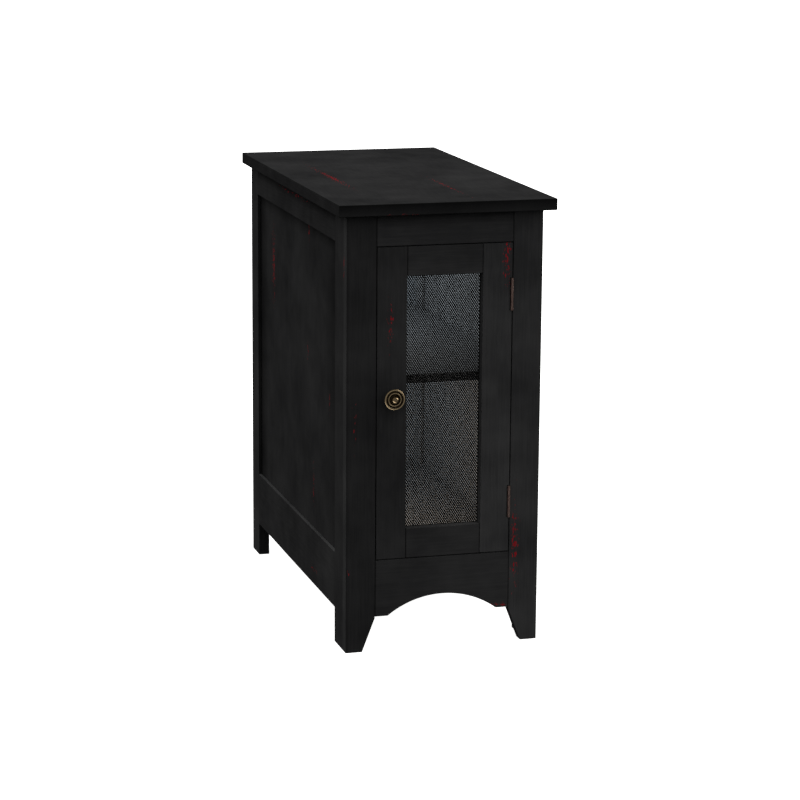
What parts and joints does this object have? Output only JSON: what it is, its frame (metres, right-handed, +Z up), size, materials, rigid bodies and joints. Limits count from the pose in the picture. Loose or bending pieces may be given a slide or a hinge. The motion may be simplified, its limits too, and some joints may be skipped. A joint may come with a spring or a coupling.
{
  "type": "storage side table with door",
  "caption": "Narrow black side table: framed cabinet with recessed side panels, tapered feet, arched apron, and a hinged perforated-mesh door with a brass knob, over an inner shelf.",
  "frame": {"origin": "on the floor, at the middle of the bounding box: midway across the width, and midway between the face of the knob and the back", "axes": "+Z up, the front with the door faces -Y, +X is to the right of someone facing the front"},
  "size_m": [0.305, 0.587, 0.623],
  "materials": {
    "black_paint": "satin black paint over wood grain, rubbed through to red along edges",
    "inside_board": "grey-brown sealed board",
    "dowel_wood": "bare beech",
    "mesh_sheet": "dark perforated sheet, satin",
    "hinge_metal": "antique copper-brown",
    "knob_brass": "antique brass with dark recesses",
    "bright_steel": "zinc plated",
    "magnet": "grey ceramic magnet with steel poles",
    "catch_plastic": "black moulded plastic"
  },
  "bodies": {
    "cabinet": {"back_bottom_rail": "black_paint", "back_panel": "inside_board", "back_top_rail": "black_paint", "catch_body": "catch_plastic", "catch_magnet": "magnet", "catch_screws": "bright_steel", "cleat_screws": "bright_steel", "floor_board": "inside_board", "floor_cleat_left": "inside_board", "floor_cleat_right": "inside_board", "frame_dowels": "dowel_wood", "frame_leaf_screws": "bright_steel", "front_apron": "black_paint", "front_leg_left": "black_paint", "front_leg_right": "black_paint", "front_top_rail": "black_paint", "hinge_frame_leaf_lower": "hinge_metal", "hinge_frame_leaf_upper": "hinge_metal", "hinge_pin_lower": "hinge_metal", "hinge_pin_upper": "hinge_metal", "left_bottom_rail": "black_paint", "left_front_post": "black_paint", "left_rear_post": "black_paint", "left_side_panel": "black_paint", "left_top_rail": "black_paint", "right_bottom_rail": "black_paint", "right_front_post": "black_paint", "right_rear_post": "black_paint", "right_side_panel": "black_paint", "right_top_rail": "black_paint", "shelf": "black_paint", "shelf_pins": "bright_steel", "top_board": "black_paint", "top_cleat_left": "inside_board", "top_cleat_right": "inside_board"},
    "door": {"door_bottom_rail": "black_paint", "door_dowels": "dowel_wood", "door_hinge_stile": "black_paint", "door_latch_stile": "black_paint", "door_leaf_screws": "bright_steel", "door_mesh": "mesh_sheet", "door_top_rail": "black_paint", "hinge_door_leaf_lower": "hinge_metal", "hinge_door_leaf_upper": "hinge_metal", "knob": "knob_brass", "knob_screw": "bright_steel", "mesh_bead_bottom": "black_paint", "mesh_bead_left": "black_paint", "mesh_bead_right": "black_paint", "mesh_bead_top": "black_paint", "strike_plate": "bright_steel", "strike_screws": "bright_steel"}
  },
  "joints": [
    {"name": "door_hinge", "type": "hinge", "parent": "cabinet", "child": "door", "pos_m": [0.0947, -0.2725, 0.3465], "axis": [0, 0, 1], "range_deg": [0, 170]}
  ]
}
